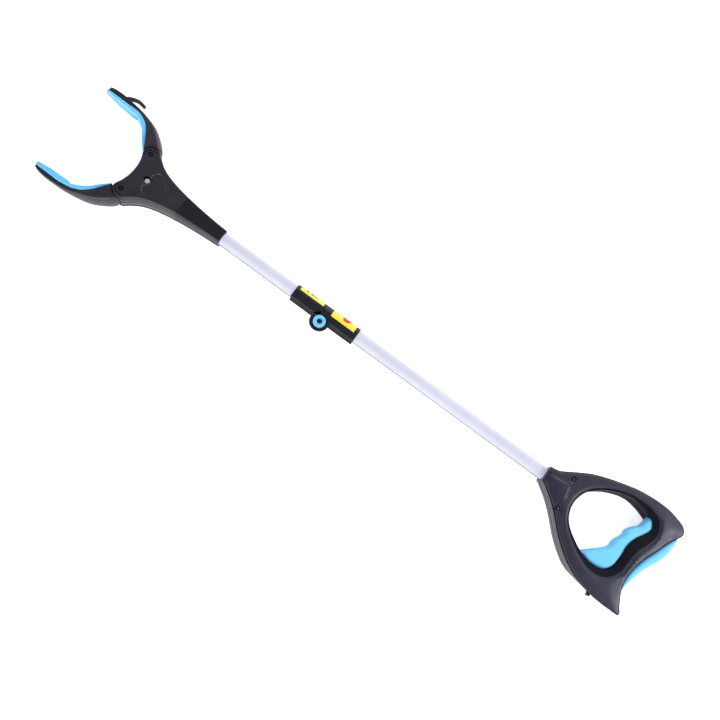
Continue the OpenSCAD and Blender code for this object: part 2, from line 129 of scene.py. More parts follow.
def closed_loop(parts, spacing):
    """One closed loop, turning left, through open paths and single corners, with straight lines between."""
    parts = [np.array(part, float).reshape(-1, 2) for part in parts]
    lines = []
    for part, following in zip(parts, parts[1:] + parts[:1]):
        if len(part) > 1:
            lines.append(even(part, spacing)[:-1])
        if np.abs(part[-1] - following[0]).max() > TOUCHING:
            lines.append(even([part[-1], following[0]], spacing)[:-1])
    loop = np.vstack(lines)
    following = np.roll(loop, -1, axis=0)
    area = np.sum(loop[:, 0] * following[:, 1] - following[:, 0] * loop[:, 1])
    return loop if area > 0 else loop[::-1]


def smooth_loop(points, spacing):
    """A closed smooth loop through points, turning left."""
    path = curve(points, closed=True)
    return closed_loop([np.vstack([path, path[:1]])], spacing)


def round_spot(centre, radius, angles):
    """Points at those angles, in radians, round a centre."""
    return np.column_stack([centre[0] + radius * np.cos(angles), centre[1] + radius * np.sin(angles)])


def circle(centre, radius, count=48):
    return round_spot(centre, radius, np.arange(count) * 2 * math.pi / count)


def arc(centre, radius, start, end, count=24):
    """Open arc from one angle to another, in degrees."""
    return round_spot(centre, radius, np.radians(np.linspace(start, end, count + 1)))


def outward(loop):
    """Outward unit normals of a loop that turns left."""
    along = np.roll(loop, -1, axis=0) - np.roll(loop, 1, axis=0)
    normals = np.column_stack([along[:, 1], -along[:, 0]])
    return normals / np.maximum(np.linalg.norm(normals, axis=1), 1e-9)[:, None]


def drawn_in(loop, amount, end_x):
    """A loop drawn in all round by amount, apart from its straight end at end_x, which only gets narrower."""
    at_end = np.abs(loop[:, 0] - end_x) < 0.05
    half_width = np.abs(loop[at_end, 1]).max()
    amount = np.broadcast_to(amount, len(loop))
    moved = loop - amount[:, None] * outward(loop)
    moved[at_end, 0] = end_x
    moved[at_end, 1] = loop[at_end, 1] * (1 - amount[at_end] / half_width)
    return moved


def gap(points, loop):
    """Distance of each point from a closed loop."""
    start = loop
    along = np.roll(loop, -1, axis=0) - loop
    length = np.maximum((along**2).sum(1), 1e-12)
    out = np.empty(len(points))
    for first in range(0, len(points), 1000):
        q = points[first:first + 1000, None]
        t = np.clip(((q - start) * along).sum(2) / length, 0, 1)
        out[first:first + 1000] = np.sqrt(((start + t[..., None] * along - q) ** 2).sum(2)).min(1)
    return out


def inside(points, loop):
    """Whether each point lies inside a closed loop."""
    x, y = points[:, :1], points[:, 1:]
    ax, ay = loop[:, 0], loop[:, 1]
    bx, by = np.roll(ax, -1), np.roll(ay, -1)
    crosses = (ay > y) != (by > y)
    slope = np.where(by == ay, 1, by - ay)
    return (crosses & (x < (bx - ax) * (y - ay) / slope + ax)).sum(1) % 2 == 1


def ramp(value, low, high):
    """0 below low, 1 above high and smooth between them."""
    t = np.clip((value - low) / (high - low), 0, 1)
    return t * t * (3 - 2 * t)


def rounding(distance, radius, depth=None):
    """How far an edge rounded like a quarter ellipse lies below its flat, at a distance in from the edge."""
    depth = radius if depth is None else depth
    t = np.clip(1 - distance / radius, 0, 1)
    return depth * (1 - np.sqrt(np.clip(1 - t * t, 0, 1)))


def rows(radius, count=6):
    """Distances from an edge at which a rounding of that radius needs a row of points."""
    angles = np.linspace(0, math.pi / 2, count + 1)[1:]
    return list(radius * (1 - np.cos(angles)))


# ---- meshes

# Points closer than WELD mm become one, and edges shorter than SLIVER mm go
WELD = 0.002
SLIVER = 0.0001
# Spacing below which two loose points of a sheet are one, and their least distance from a drawn line
CELL = 0.3
LINE_CLEAR = 0.35


class Skin:
    """Points and faces of a piece being made, in millimetres from the hinge pin."""

    def __init__(self):
        self.points = []
        self.faces = []
        self.marks = []

    def add(self, points):
        """Adds points and returns their numbers."""
        first = len(self.points)
        self.points.extend([tuple(map(float, p)) for p in points])
        return np.arange(first, len(self.points))

    def face(self, corners, mark=0):
        self.faces.append(tuple(int(c) for c in corners))
        self.marks.append(mark)

    def band(self, a, b, closed=True, mark=0):
        """Quads between two rows of as many points."""
        count = len(a)
        for i in range(count if closed else count - 1):
            j = (i + 1) % count
            self.face((a[i], a[j], b[j], b[i]), mark)

    def bands(self, rings, closed=True, mark=0):
        for a, b in zip(rings, rings[1:]):
            self.band(a, b, closed, mark)

    def cap(self, ring, centre, mark=0):
        """Triangles from a ring to a point at its middle."""
        middle = self.add([centre])[0]
        count = len(ring)
        for i in range(count):
            self.face((ring[i], ring[(i + 1) % count], middle), mark)

    def turn_over(self):
        """The same skin mirrored through the mid-plane."""
        other = Skin()
        other.points = [(x, y, -z) for x, y, z in self.points]
        other.faces = [f[::-1] for f in self.faces]
        other.marks = list(self.marks)
        return other

    def join(self, other):
        first = len(self.points)
        self.points.extend(other.points)
        self.faces.extend(tuple(c + first for c in f) for f in other.faces)
        self.marks.extend(other.marks)
        return self


def place(points):
    """Millimetres from the hinge pin to metres in the CAD frame."""
    return (np.array(points, float) + ORIGIN) * MM


def piece(name, skin, materials, body, replaced=(), sharp=35):
    """Makes the object of a skin. A face's mark picks its material, edges above sharp degrees stay sharp."""
    mesh = bpy.data.meshes.new(name)
    mesh.from_pydata([tuple(p) for p in place(skin.points)], [], skin.faces)
    materials = materials if isinstance(materials, (list, tuple)) else [materials]
    for material in materials:
        mesh.materials.append(material)
    mesh.polygons.foreach_set("material_index", np.array(skin.marks, dtype=np.int32))
    work = bmesh.new()
    work.from_mesh(mesh)
    bmesh.ops.remove_doubles(work, verts=work.verts, dist=WELD * MM)
    bmesh.ops.dissolve_degenerate(work, edges=work.edges, dist=SLIVER * MM)
    bmesh.ops.recalc_face_normals(work, faces=work.faces)
    work.to_mesh(mesh)
    work.free()
    mesh.shade_smooth()
    mesh.set_sharp_from_angle(angle=math.radians(sharp))
    made = bpy.data.objects.new(name, mesh)
    bpy.context.scene.collection.objects.link(made)
    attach(made, body)
    if replaced:
        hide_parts(*replaced)
    return made


def sheet(outer, holes, edge_rows, hole_rows, spacing, lines=()):
    """Triangles that fill outer, less its holes, with rows of points beside each edge.

    Returns the flat points, the triangles, and the numbers of the points on outer and on each hole.
    """
    loops = [outer] + list(holes)
    points, edges, own = [], [], []
    for loop in loops:
        first = len(points)
        own.append(range(first, first + len(loop)))
        points.extend(loop)
        edges.extend((first + i, first + (i + 1) % len(loop)) for i in range(len(loop)))
    for line, is_closed in lines:
        first = len(points)
        points.extend(line)
        last = len(line) if is_closed else len(line) - 1
        edges.extend((first + i, first + (i + 1) % len(line)) for i in range(last))
    fixed = np.array(points)
    gaps_of = [(loop, -1 if k == 0 else 1, edge_rows if k == 0 else hole_rows[k - 1])
               for k, loop in enumerate(loops)]
    extra = []
    for loop, side, distances in gaps_of:
        for distance in distances:
            candidates = loop + side * distance * outward(loop)
            extra.append(candidates[gap(candidates, loop) > 0.97 * distance])
    low, high = outer.min(0), outer.max(0)
    across = np.arange(low[0], high[0], spacing)
    up = np.arange(low[1], high[1], spacing * math.sqrt(3) / 2)
    grid = np.array([(x + spacing / 2 * (j % 2), y) for j, y in enumerate(up) for x in across])
    for loop, _, distances in gaps_of:
        reach_in = max(distances, default=0) + 0.6 * spacing
        grid = grid[gap(grid, loop) > reach_in]
    extra.append(grid)
    loose = np.vstack(extra)
    keep = inside(loose, outer)
    for hole in holes:
        keep &= ~inside(loose, hole)
    loose = loose[keep]
    for k, (loop, _, distances) in enumerate(gaps_of):
        loose = loose[gap(loose, loop) > 0.9 * min(distances, default=CELL)]
    for line, is_closed in lines:
        loose = loose[gap(loose, line if is_closed else np.vstack([line, line[::-1]])) > LINE_CLEAR]
    cells = {}
    for p in loose:
        cells.setdefault((round(p[0] / CELL), round(p[1] / CELL)), p)
    everything = np.vstack([fixed, np.array(list(cells.values())).reshape(-1, 2)])
    result = delaunay_2d_cdt([Vector(p) for p in everything], edges, [], 0, 1e-5)
    flat = np.array([tuple(p) for p in result[0]])
    number = {}
    for i, originals in enumerate(result[3]):
        for original in originals:
            number[original] = i
    triangles = np.array([f for f in result[2] if len(f) == 3])
    middles = flat[triangles].mean(1)
    keep = inside(middles, outer)
    for hole in holes:
        keep &= ~inside(middles, hole)
    rims = [np.array([number[i] for i in r]) for r in own]
    return flat, triangles[keep], rims


def lifted(skin, flat, triangles, heights):
    """Adds a sheet to a skin at the given heights and returns the numbers of its points."""
    numbers = skin.add(np.column_stack([flat, heights]))
    for t in triangles:
        skin.face(numbers[t])
    return numbers


def pillow(outline, half, width, depth, spacing, power):
    """A closed solid on both sides of the mid-plane, whose edges fall by depth over that width."""
    edge = rows(width, 9)
    flat, triangles, rims = sheet(outline, [], edge, [], spacing)
    t = np.clip(1 - gap(flat, outline) / width, 0, 1)
    heights = half - depth * (1 - np.clip(1 - t**power, 0, 1) ** (1 / power))
    heights[rims[0]] = half - depth
    skin = Skin()
    numbers = lifted(skin, flat, triangles, heights)
    if half - depth > 0.01:
        rim = numbers[rims[0]]
        below = skin.add([(x, y, 0) for x, y, _ in np.array(skin.points)[rim]])
        skin.band(rim, below)
    return skin.join(skin.turn_over())


def revolved(profile, centre, axis=2, count=64):
    """A turned solid: profile is (radius, along) pairs from one end of the axis to the other."""
    skin = Skin()
    angles = np.arange(count) * 2 * math.pi / count
    first_axis, second_axis = [(1, 2), (2, 0), (0, 1)][axis]
    rings = []
    for radius, along in profile:
        points = np.zeros((count, 3)) + np.array(centre, float)
        points[:, first_axis] += radius * np.cos(angles)
        points[:, second_axis] += radius * np.sin(angles)
        points[:, axis] += along
        rings.append(skin.add(points))
    skin.bands(rings)
    return skin, rings


def loft(sections):
    """A closed skin through sections of as many points, in space."""
    skin = Skin()
    rings = [skin.add(section) for section in sections]
    skin.bands(rings)
    for end in (0, -1):
        skin.cap(rings[end], np.mean(sections[end], axis=0))
    return skin


# ---- materials


def node(tree, kind, **inputs):
    made = tree.nodes.new(kind)
    for name, value in inputs.items():
        made.inputs[name].default_value = value
    return made


def link(tree, start, output, end, target):
    tree.links.new(start.outputs[output], end.inputs[target])


def fade_range(made, *ends):
    """Sets the four ends of a Map Range node: from low, from high, to low and to high."""
    for name, value in zip(("From Min", "From Max", "To Min", "To Max"), ends):
        made.inputs[name].default_value = value


def spread(tree, source, low, high):
    """Turns a noise value of 0.3 to 0.7 into low to high."""
    made = node(tree, "ShaderNodeMapRange")
    fade_range(made, 0.3, 0.7, low, high)
    link(tree, source[0], source[1], made, "Value")
    return made


def noise(tree, coordinates, scale, detail=3.0, stretch=(1, 1, 1)):
    mapping = node(tree, "ShaderNodeMapping", Scale=stretch)
    link(tree, coordinates, "Object", mapping, "Vector")
    made = node(tree, "ShaderNodeTexNoise", Scale=scale, Detail=detail, Roughness=0.6)
    link(tree, mapping, "Vector", made, "Vector")
    return made


# Height of the grain, in metres
RELIEF = 0.00008


def surface(name, colour, roughness, vary=0.1, grain=1400, bump=0.05, stretch=(1, 1, 1), metallic=0.0,
            rough_vary=0.06, blotch=25, specular=0.5, coat=0.0, subsurface=0.0, glow=0.0):
    """A procedural material: slow colour drift, grain in the bump and worn variation in the roughness."""
    material = bpy.data.materials.new(name)
    material.use_nodes = True
    tree = material.node_tree
    shader = tree.nodes["Principled BSDF"]
    inputs = {"Metallic": metallic, "Specular IOR Level": specular, "Coat Weight": coat,
              "Coat Roughness": 0.2, "Subsurface Weight": subsurface, "Subsurface Scale": 0.004,
              "Emission Color": (*colour, 1), "Emission Strength": glow}
    for socket, value in inputs.items():
        shader.inputs[socket].default_value = value
    coordinates = node(tree, "ShaderNodeTexCoord")
    drift = noise(tree, coordinates, blotch, 4.0)
    mix = node(tree, "ShaderNodeMix")
    mix.data_type = "RGBA"
    mix.inputs["A"].default_value = (*[c * (1 - vary) for c in colour], 1)
    mix.inputs["B"].default_value = (*[min(1, c * (1 + vary)) for c in colour], 1)
    shade = spread(tree, (drift, "Fac"), 0, 1)
    link(tree, shade, "Result", mix, "Factor")
    tree.links.new(mix.outputs["Result"], shader.inputs["Base Color"])
    fine = noise(tree, coordinates, grain, 2.0, stretch)
    worn = noise(tree, coordinates, grain * 0.12, 5.0, stretch)
    rough = spread(tree, (worn, "Fac"), roughness - rough_vary, roughness + rough_vary)
    link(tree, rough, "Result", shader, "Roughness")
    relief = node(tree, "ShaderNodeBump", Strength=bump, Distance=RELIEF)
    link(tree, fine, "Fac", relief, "Height")
    link(tree, relief, "Normal", shader, "Normal")
    return material


BLACK = surface("black_plastic", (0.011, 0.011, 0.023), 0.42, bump=0.22)
BLACK_HEAD = surface("black_plastic_head", (0.016, 0.014, 0.021), 0.42, bump=0.22)
BLACK_DARK = surface("black_plastic_dark", (0.005, 0.005, 0.010), 0.44, bump=0.15, specular=0.35)
# Darker copy of the black plastic: painted shade for the window's scoop, wells, grooves, the face's ledge and the
# hinge's walls
PAINTED_SHADE_BLACK = surface("black_plastic_painted_shade", (0.003, 0.003, 0.006), 0.6, bump=0.12, specular=0.1)
PIN_BLACK = surface("black_pin", (0.004, 0.004, 0.005), 0.45, grain=1200, bump=0.1, specular=0.3)
SCREW_BLACK = surface("blackened_screw", (0.03, 0.03, 0.035), 0.3, grain=900, bump=0.1, metallic=0.6)
BLUE = surface("blue_rubber", (0.13, 0.50, 0.84), 0.48, vary=0.05, grain=1700, bump=0.15, subsurface=0.1)
# Its glow is painted light, keeping the tube pale under the dim overhead sky
TUBE = surface("anodised_tube", (0.36, 0.36, 0.43), 0.46, vary=0.03, grain=900, bump=0.12,
               stretch=(0.03, 1, 1), rough_vary=0.05, glow=0.6)
STEEL = surface("zinc_steel", (0.62, 0.63, 0.66), 0.3, vary=0.08, grain=600, bump=0.1, metallic=1.0)
# Near-white colour with a little glow: a painted highlight standing for the screw head's bright spot
SCREW_HIGHLIGHT = surface("screw_painted_highlight", (0.95, 0.95, 0.96), 0.5, vary=0.03, grain=600, metallic=0.1, glow=0.15)
GREY = surface("acetal", (0.55, 0.56, 0.58), 0.45, vary=0.05, grain=900, bump=0.1)
YELLOW = surface("label_yellow", (0.86, 0.66, 0.03), 0.45, vary=0.05, grain=1200, coat=0.2)
PRINT = surface("label_print", (0.03, 0.03, 0.01), 0.45, vary=0.05, grain=1200)
RED = surface("label_red", (0.75, 0.05, 0.04), 0.6, vary=0.05, grain=1200, specular=0.2)


def paint_shade_below(material, start, end, share):
    """Painted shade: multiplies a material's colour and glow by share below end, fading in from start (mm from the
    mid-plane).
    """
    tree = material.node_tree
    shader = tree.nodes["Principled BSDF"]
    colour = shader.inputs["Base Color"].links[0].from_socket
    coordinates = node(tree, "ShaderNodeTexCoord")
    split = node(tree, "ShaderNodeSeparateXYZ")
    link(tree, coordinates, "Object", split, "Vector")
    fade = node(tree, "ShaderNodeMapRange")
    fade_range(fade, (end + ORIGIN[2]) * MM, (start + ORIGIN[2]) * MM, share, 1)
    link(tree, split, "Z", fade, "Value")
    darker = node(tree, "ShaderNodeMix")
    darker.data_type = "RGBA"
    darker.blend_type = "MULTIPLY"
    darker.inputs["Factor"].default_value = 1
    tree.links.new(colour, darker.inputs["A"])
    tree.links.new(fade.outputs["Result"], darker.inputs["B"])
    tree.links.new(darker.outputs["Result"], shader.inputs["Base Color"])
    tree.links.new(darker.outputs["Result"], shader.inputs["Emission Color"])


# Painted shade along the tube's lower side, standing for a dark reflection
paint_shade_below(TUBE, 2.4, 1.0, 0.15)
# Painted shade on the lower half of every blue part
paint_shade_below(BLUE, 5, -6, 0.5)


# ---- handle

SIDE_RIGHT = [(-297, -8.4), (-308, -10.6), (-322, -19), (-339, -29), (-356, -36), (-375, -42),
              (-395, -47), (-417, -49.3), (-436, -48.6), (-452, -45)]
TIP_RIGHT = [(-457.5, -42.5), (-461, -38.5), (-461.5, -33.5), (-458, -27)]
PALM_EDGE = [(-452, -18), (-445, -2), (-438, 13), (-432.5, 30), (-430.5, 45), (-432.5, 58),
             (-437, 69), (-440, 75)]
TIP_LEFT = [(-443, 79.5), (-441.5, 83), (-437, 83.3)]
SIDE_LEFT = [(-420, 83.3), (-404, 81.8), (-387, 77.6), (-371, 70.6), (-357, 61.5), (-343, 49.8),
             (-331, 37.2), (-321, 27.3), (-309, 17.5), (-297, 9.5)]
# The finger window where the two shells meet, and its rim on each shell's face, point for point
WINDOW_WAIST = [(-425, -26), (-419.8, -29.5), (-408, -33.5), (-393, -35.3), (-378, -31.8),
                (-360.5, -22.7), (-346.5, -10.3), (-340.5, 2.5), (-339.5, 14), (-342.5, 24.5),
                (-348.5, 33), (-359, 41), (-373.5, 48.8), (-390, 52), (-405, 49.5), (-412, 42.5),
                (-414.5, 29), (-413.5, 14), (-418, 0), (-428, -16)]
WINDOW_RIM = [(-434, -30), (-426, -36.5), (-411, -39.4), (-394, -38.3), (-377.5, -34.3),
              (-358.5, -24.8), (-343.5, -11.5), (-337.2, 2), (-336.5, 14.3), (-339.8, 26.2),
              (-346.2, 36), (-357, 45.6), (-371.5, 54.8), (-387, 61.8), (-403.5, 61.6), (-415.3, 54.6),
              (-424, 43), (-426.3, 30), (-429.5, 13), (-438.3, -12)]
HANDLE_SCREWS = [(-325, -11.5), (-326.5, 25.5)]
# How far the face lies inside the outer wall: a ledge in front, whose step is painted in shade, a slope at the
# back
FACE_INSET = {True: 1.3, False: 2.2}
# Rings of the outer wall, as (height in mm, distance drawn in, mark); mark 1 paints shade on the ledge's step with
# the darker black
FRONT_WALL = [(12.2, 1.3, 0), (11.7, 1.25, 1), (11.4, 0.15, 1), (11.1, 0.0, 0), (6, 0.0, 0), (0.8, 0.2, 0),
              (0, 0.6, 0)]
BACK_WALL = [(12, 1.9, 0), (8, 1.2, 0), (4, 0.6, 0), (0.8, 0.25, 0), (0, 0.6, 0)]
HANDLE_ROUND = 0.9
HANDLE_TUCK = 4.6
SHELL_WALL = 2.2
RIM_ROUND = 1.4
WELL_R = 3.2
WELL_ROUND = 0.6
WELL_DEPTH = 3
BADGE_RISE = 0.2
# Fall of the face towards its edge and towards the wings' tips, and of the window's lip
EDGE_FALL = 0.8
TIP_FALL = 1.6
LIP_DROP = 3.4
# Where the trigger's slot starts and ends, counted along the window's points
SLOT_START = 12.2
SLOT_END = 21.3
SLOT_FADE = 1.2
LUG_SPOT = (-406, 80.1)
LUG_TURN = 15


def handle_loop(spacing):
    """The handle's outline; its collar is the straight line that closes it."""
    return closed_loop([curve(SIDE_RIGHT + TIP_RIGHT + PALM_EDGE + TIP_LEFT + SIDE_LEFT)], spacing)


def tucked(loop, height):
    """The wing under the strap's lug draws in from the front face down to the back one."""
    share = ramp(-loop[:, 0], 362, 412) * ramp(loop[:, 1], 52, 80)
    moved = loop.copy()
    moved[:, 1] -= share * HANDLE_TUCK * (1 - height / HANDLE_HALF)
    return moved


def handle_skin(details):
    """One handle shell above the mid-plane: its wall, face, window wall and, in front, its details."""
    front = 1 if details else -1
    waist = handle_loop(1.4)
    face_edge = tucked(drawn_in(waist, FACE_INSET[details], COLLAR_X), front * HANDLE_HALF)
    rim = curve(WINDOW_RIM, 9, closed=True)
    lip = curve(WINDOW_WAIST, 9, closed=True)
    wells = [circle(spot, WELL_R)[::-1] for spot in HANDLE_SCREWS] if details else []
    hole_rows = [rows(RIM_ROUND, 4)] + [rows(WELL_ROUND, 3)] * len(wells)
    badge = badge_loop()
    lines = [(badge, True), (badge + 0.5 * outward(badge), True)] if details else []
    edge_rows = rows(HANDLE_ROUND, 6) + [4, 6, 9]
    holes = [rim] + [well[::-1] for well in wells]
    flat, triangles, rims = sheet(face_edge, holes, edge_rows, hole_rows, 3.2, lines)
    to_edge = gap(flat, face_edge)
    heights = HANDLE_HALF - BADGE_RISE - rounding(to_edge, HANDLE_ROUND)
    heights -= EDGE_FALL * (1 - ramp(to_edge, 0, 14)) + TIP_FALL * ramp(-flat[:, 0], 425, 465)
    heights -= rounding(gap(flat, rim), RIM_ROUND)
    for well in wells:
        heights -= rounding(gap(flat, well), WELL_ROUND)
    if details:
        heights += BADGE_RISE * inside(flat, badge + 0.25 * outward(badge))
    skin = Skin()
    numbers = lifted(skin, flat, triangles, heights)
    # Outer wall down to the seam
    top_height = heights[rims[0]]
    rings = [numbers[rims[0]]]
    for height, inset, mark in (FRONT_WALL if details else BACK_WALL):
        loop = tucked(drawn_in(waist, inset, COLLAR_X), front * height)
        level = np.minimum(height, top_height - (HANDLE_HALF - height) * 0.35)
        rings.append(skin.add(np.column_stack([loop, level])))
        skin.band(rings[-2], rings[-1], mark=mark)
    add_window_wall(skin, numbers[rims[1]], flat[rims[1]], heights[rims[1]], rim, lip)
    for spot, order in zip(HANDLE_SCREWS, rims[2:]):
        sink_well(skin, numbers[order], flat[order], spot, 0.5, HANDLE_HALF - WELL_DEPTH)
    return skin


def sink_well(skin, top, line, spot, share, floor):
    """A well's wall from its rim down to floor, and a seat in it that leaves share of its width open, both painted
    in shade with the darker black.
    """
    level = np.full(len(line), floor)
    deep = skin.add(np.column_stack([line, level]))
    seat = skin.add(np.column_stack([spot + (line - spot) * share, level]))
    # Painted shade: the well's wall and seat take the darker black
    skin.bands([top, deep, seat], mark=1)


def add_window_wall(skin, top, rim_line, rim_height, rim, lip):
    """The window's wall, which scoops down to the slot where the trigger goes in; below its rounded rim it is
    painted in shade with the darker black.
    """
    nearest = match(rim_line, rim)
    slotted = slot_part(len(rim))[nearest]
    lip_line = lip[nearest]
    bottom = slotted * (TRIGGER_HALF + 0.7)
    lip_height = slotted * (TRIGGER_HALF + 1.2) + (1 - slotted) * (HANDLE_HALF - LIP_DROP)
    rings = [top]
    for t in (0.08, 0.2, 0.35, 0.5, 0.65, 0.8, 0.92, 1.0):
        path = rim_line + t**0.9 * (lip_line - rim_line)
        rings.append(skin.add(np.column_stack([path, rim_height + t**1.4 * (lip_height - rim_height)])))
    for t in (0.06, 0.3, 0.65, 1.0):
        rings.append(skin.add(np.column_stack([lip_line, lip_height + t * (bottom - lip_height)])))
    skin.bands(rings[:3])
    # Painted shade: the scoop and the wall below it take the darker black
    skin.bands(rings[2:], mark=1)


def match(points, loop):
    """For each point, the number of the nearest point of a loop."""
    return np.array([int(((loop - p) ** 2).sum(1).argmin()) for p in points])


def slot_part(count):
    """How much each point of the window wall belongs to the trigger's slot, from 0 to 1."""
    place_on = np.arange(count) / count * len(WINDOW_WAIST)
    wrapped = np.where(place_on < 5, place_on + len(WINDOW_WAIST), place_on)
    opening = ramp(wrapped, SLOT_START, SLOT_START + SLOT_FADE)
    return opening * (1 - ramp(wrapped, SLOT_END - SLOT_FADE, SLOT_END))


def badge_loop():
    """The blank raised panel near the tube's collar."""
    return closed_loop([(-301.6, 0.2), (-324.9, -2.1), (-328.6, 14.5), (-301.8, 10.6)], 1.5)


def hollow(made, thickness, offset=-1):
    """Gives an open skin its wall thickness."""
    wall = made.modifiers.new("wall", "SOLIDIFY")
    wall.thickness = thickness * MM
    wall.offset = offset
    wall.use_even_offset = False


def make_handle():
    front = handle_skin(True)
    back = handle_skin(False).turn_over()
    for name, skin, replaced in (("handle_shell_front", front, "handle_front_shell"),
                                 ("handle_shell_back", back, "handle_back_shell")):
        made = piece(name, skin, [BLACK, PAINTED_SHADE_BLACK], "handle", [replaced], 50)
        hollow(made, SHELL_WALL)


def make_strap_lug():
    """The small lug for a wrist strap on the side of the wing."""
    turn = math.radians(LUG_TURN)
    along = np.array([math.cos(turn), math.sin(turn)])
    across = np.array([-along[1], along[0]])
    corners = box_loop(0, 4, -2.5, 2.6, 0.5)
    outline = np.array(LUG_SPOT) + corners[:, :1] * along + corners[:, 1:] * across
    piece("strap_lug", plate(outline, 4.5, 9, 0.5), BLACK, "handle")


def make_palm_pad():
    """The soft grip on the palm's side, rounded all round."""
    bulge = [(-434, 59), (-437, 47), (-440.5, 35), (-446, 21), (-454.5, 6), (-459.3, -7), (-461, -18),
             (-461.3, -27)]
    inner = [(x + 2, y + 1) for x, y in PALM_EDGE[:6]]
    outline = smooth_loop([(-456, -28)] + inner + bulge, 1.4)
    skin = pillow(outline, 10.4, 7, 10, 3, 2.3)
    piece("palm_grip", skin, BLUE, "handle", ["palm_pad"], 60)


FINGER_EDGE = [(-369.5, 50), (-374.5, 45), (-387, 34), (-396.5, 25.3), (-399.3, 20), (-399.8, 14),
               (-403, 7.5), (-405.6, 2), (-406, -4), (-410.5, -11), (-416, -16), (-418.3, -22),
               (-420, -31.5)]
TRIGGER_BACK = [(-427, -31.5), (-431.5, -20), (-424.5, -4), (-418.5, 10), (-416, 28), (-413, 41),
                (-404, 50.5), (-388, 53.8), (-377.6, 51.5), (-370.5, 51.5)]


def make_trigger():
    """The finger trigger, whose back runs inside the window's wall."""
    outline = closed_loop([curve(FINGER_EDGE), curve(TRIGGER_BACK)], 1.2)
    skin = pillow(outline, TRIGGER_HALF, 5.5, TRIGGER_HALF - 0.4, 2.6, 2.3)
    piece("finger_trigger", skin, BLUE, "trigger", ["trigger"], 60)


# ---- tubes


def make_tube(name, node_name, body):
    low, high = reach(node_name, 0, 0), reach(node_name, 0, 1)
    inner = TUBE_R - 1
    profile = [(inner, low), (TUBE_R - 0.3, low), (TUBE_R, low + 0.3)]
    profile += [(TUBE_R, low + (high - low) * k / 8) for k in range(1, 8)]
    profile += [(TUBE_R, high - 0.3), (TUBE_R - 0.3, high), (inner, high), (inner, low)]
    skin, _ = revolved(profile, (0, 0, 0), 0, 96)
    piece(name, skin, TUBE, body, [node_name], 50)


# ---- hinge

HINGE_REAR = reach("hinge_rear_half", 0, 0)
HINGE_FRONT = reach("hinge_front_half", 0, 1)
SPLIT_X = 4.5
# The knuckle grows wider from below: its lower ear up to LOW_EAR_R and the tongue up to TONGUE_R
KNUCKLE_R = reach("hinge_rear_half", 1, 1) - PIN_Y
KNUCKLE_TAPER = 1.5
LOW_EAR_R = 8
TONGUE_R = 9.4
# Half height of the tongue, and the play round it
TONGUE = 2.9
GAP = 0.3
ROUND_SIDE = HINGE_HALF - TONGUE - GAP
# How far the wall beside the knuckle leans in at the mid-plane
WALL_LEAN = 0.9
HOLE_ROUND = 0.4
# How far the block's middle stays inside the outline of its upper and lower parts
HAIR = 0.02
BUTTON_R = (size("release_button")[1][0] - size("release_button")[0][0]) / 2
BUTTON_TOP = reach("release_button", 2, 1)


def plate(outline, low, high, radius, holes=(), depth=0, side=None, taper=None, wall_mark=0):
    """A flat solid with a rounded upper edge, wall_mark on its wall and, in it, round wells of one depth, painted
    in shade with mark 1.

    side is the (y, width, drop) of a side that is rounded more; the opposite wall then leans in. taper is
    (centre, radius, change) of a round part whose radius changes towards its lower face.
    """
    edge = rows(side[1], 12) if side else rows(radius, 4)
    flat, triangles, rims = sheet(outline, list(holes), edge, [rows(HOLE_ROUND, 2)] * len(holes), 2.6)
    fall = rounding(gap(flat, outline), radius)
    if side:
        fall = np.maximum(fall, rounding(flat[:, 1] - side[0], side[1], side[2]))
    heights = high - fall
    for hole in holes:
        heights -= rounding(gap(flat, hole), HOLE_ROUND)
    skin = Skin()
    numbers = lifted(skin, flat, triangles, heights)
    floor_line = flat[rims[0]].copy()
    if taper:
        centre, ear_radius, change = taper
        away = floor_line - centre
        distance = np.linalg.norm(away, axis=1)
        on_ear = (distance > ear_radius - 0.1) & (floor_line[:, 1] > HINGE_HALF + 0.05)
        floor_line[on_ear] += change * (away / distance[:, None])[on_ear]
    if side:
        leaning = np.abs(floor_line[:, 1] - HINGE_HALF) < 0.1
        floor_line[leaning, 1] -= WALL_LEAN
    skin.band(numbers[rims[0]], skin.add([(x, y, low) for x, y in floor_line]), mark=wall_mark)
    for rim in rims[1:]:
        deep = skin.add([(x, y, high - depth) for x, y in flat[rim]])
        skin.band(numbers[rim], deep, mark=1)
        skin.cap(deep, (*flat[rim].mean(0), high - depth), mark=1)
    flat, triangles, _ = sheet(floor_line, [], [], [], 4)
    lifted(skin, flat, triangles, np.full(len(flat), low))
    return skin


def box_loop(x0, x1, y0, y1, corner=0.6):
    """A rectangle with rounded corners."""
    centres = [(x1 - corner, y1 - corner, 0), (x0 + corner, y1 - corner, 90),
               (x0 + corner, y0 + corner, 180), (x1 - corner, y0 + corner, 270)]
    path = np.vstack([arc((x, y), corner, turn, turn + 90, 5) for x, y, turn in centres])
    return closed_loop([np.vstack([path, path[:1]])], 1.2)


def rear_outline(ear_radius):
    """The rear half seen from above: its block and, on the pin's side, one ear of the knuckle."""
    half = HINGE_HALF
    start = math.degrees(math.asin((half - PIN_Y) / ear_radius))
    reach_x = ear_radius * math.cos(math.radians(start))
    ear = arc((0, PIN_Y), ear_radius, start, 180 - start, 60)
    return closed_loop([(-reach_x, half), (HINGE_REAR, half), (HINGE_REAR, -half), (SPLIT_X, -half),
                        (SPLIT_X, half), ear], 1.1)


